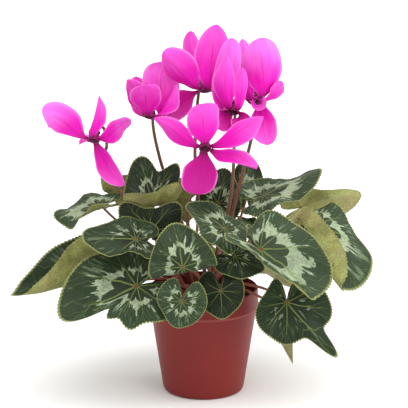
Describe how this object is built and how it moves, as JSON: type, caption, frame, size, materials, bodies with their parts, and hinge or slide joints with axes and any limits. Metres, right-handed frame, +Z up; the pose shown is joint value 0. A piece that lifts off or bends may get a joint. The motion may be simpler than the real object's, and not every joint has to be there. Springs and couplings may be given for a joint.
{
  "type": "potted cyclamen",
  "caption": "Potted cyclamen: marbled heart-shaped leaves on fleshy stalks, magenta blooms with swept-back petals on slender stalks, in a plain tapered plastic pot.",
  "frame": {"origin": "centre of the pot's flat foot", "axes": "+Z up along the pot's axis; the side in the picture faces -Y; +X to the right in the picture"},
  "size_m": [0.346, 0.2443, 0.3549],
  "materials": {
    "pot": "satin",
    "soil": "matte",
    "corm": "matte",
    "leaf_stalk": "satin",
    "flower_stalk": "satin",
    "leaf": "satin",
    "young_leaf": "satin",
    "petal": "satin"
  },
  "bodies": {
    "root": {"bloom_front": "petal", "bloom_left": "petal", "bloom_left_middle": "petal", "bloom_middle": "petal", "bloom_right": "petal", "bloom_top": "petal", "corm": "corm", "leaf_01": "leaf", "leaf_02": "leaf", "leaf_03": "leaf", "leaf_04": "leaf", "leaf_05": "leaf", "leaf_06": "leaf", "leaf_07": "leaf", "leaf_08": "leaf", "leaf_09": "leaf", "leaf_10": "leaf", "leaf_11": "leaf", "leaf_12": "leaf", "leaf_13": "leaf", "leaf_14": "leaf", "leaf_15": "leaf", "leaf_16": "leaf", "leaf_17": "leaf", "leaf_18": "leaf", "leaf_19": "leaf", "leaf_20": "leaf", "leaf_21": "leaf", "leaf_22": "young_leaf", "leaf_23": "leaf", "leaf_24": "leaf", "leaf_25": "leaf", "leaf_26": "leaf", "leaf_27": "leaf", "leaf_28": "leaf", "leaf_29": "leaf", "leaf_30": "leaf", "leaf_31": "leaf", "pot": "pot", "scape_front": "flower_stalk", "scape_left": "flower_stalk", "scape_left_middle": "flower_stalk", "scape_middle": "flower_stalk", "scape_right": "flower_stalk", "scape_top": "flower_stalk", "soil": "soil", "stalks_back_left": "leaf_stalk", "stalks_back_right": "leaf_stalk", "stalks_front": "leaf_stalk", "stalks_left": "leaf_stalk", "stalks_left_front": "leaf_stalk", "stalks_right": "leaf_stalk", "stalks_right_front": "leaf_stalk"}
  },
  "joints": []
}
